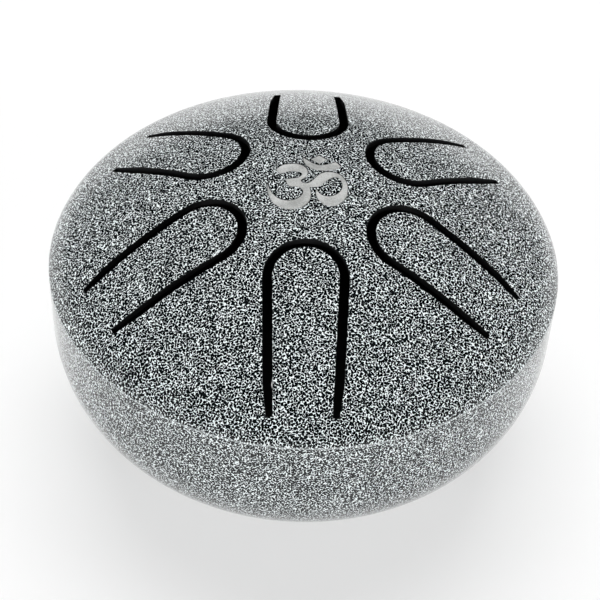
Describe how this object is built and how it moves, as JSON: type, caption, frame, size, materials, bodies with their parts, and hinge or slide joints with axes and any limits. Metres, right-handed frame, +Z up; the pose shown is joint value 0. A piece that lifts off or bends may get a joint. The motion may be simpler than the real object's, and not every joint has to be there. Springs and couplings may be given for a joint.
{
  "type": "tongue drum",
  "caption": "Small steel tongue drum: a pressed dome with round-ended sprung tongues over a bowl with a sound hole and rubber feet.",
  "frame": {"origin": "middle of the surface that the drum stands on, under its axis", "axes": "+Z up along the drum's axis, -Y towards the longest tongue"},
  "size_m": [0.08, 0.08, 0.0481],
  "materials": {
    "hammertone_paint": "silver-vein hammertone: pale blue-grey with fine black veins, satin",
    "foot_rubber": "matt",
    "bare_steel": "etched bare metal sign on the crown"
  },
  "bodies": {
    "shell": {"top_shell": "hammertone_paint", "bottom_shell": "hammertone_paint", "foot_1": "foot_rubber", "foot_2": "foot_rubber", "foot_3": "foot_rubber", "foot_4": "foot_rubber"},
    "tongue_front": {"tongue_front": "hammertone_paint"},
    "tongue_front_right": {"tongue_front_right": "hammertone_paint"},
    "tongue_back_right": {"tongue_back_right": "hammertone_paint"},
    "tongue_back": {"tongue_back": "hammertone_paint"},
    "tongue_back_left": {"tongue_back_left": "hammertone_paint"},
    "tongue_front_left": {"tongue_front_left": "hammertone_paint"}
  },
  "joints": [
    {"name": "tongue_front_flex", "type": "hinge", "parent": "shell", "child": "tongue_front", "pos_m": [0, -0.03328, 0.03808], "axis": [-1, 0, 0], "range_deg": [-1, 1], "stiffness_Nm_per_rad": 14.4},
    {"name": "tongue_front_right_flex", "type": "hinge", "parent": "shell", "child": "tongue_front_right", "pos_m": [0.02692, -0.01554, 0.03939], "axis": [-0.5, -0.866, 0], "range_deg": [-0.89, 0.89], "stiffness_Nm_per_rad": 16.1},
    {"name": "tongue_back_right_flex", "type": "hinge", "parent": "shell", "child": "tongue_back_right", "pos_m": [0.02531, 0.01461, 0.0404], "axis": [0.5, -0.866, 0], "range_deg": [-0.8, 0.8], "stiffness_Nm_per_rad": 17.9},
    {"name": "tongue_back_flex", "type": "hinge", "parent": "shell", "child": "tongue_back", "pos_m": [0, 0.02805, 0.04101], "axis": [1, 0, 0], "range_deg": [-0.75, 0.75], "stiffness_Nm_per_rad": 19.3},
    {"name": "tongue_back_left_flex", "type": "hinge", "parent": "shell", "child": "tongue_back_left", "pos_m": [-0.02539, 0.01466, 0.04036], "axis": [0.5, 0.866, 0], "range_deg": [-0.81, 0.81], "stiffness_Nm_per_rad": 17.8},
    {"name": "tongue_front_left_flex", "type": "hinge", "parent": "shell", "child": "tongue_front_left", "pos_m": [-0.02772, -0.01601, 0.03885], "axis": [-0.5, 0.866, 0], "range_deg": [-0.94, 0.94], "stiffness_Nm_per_rad": 15.3}
  ]
}
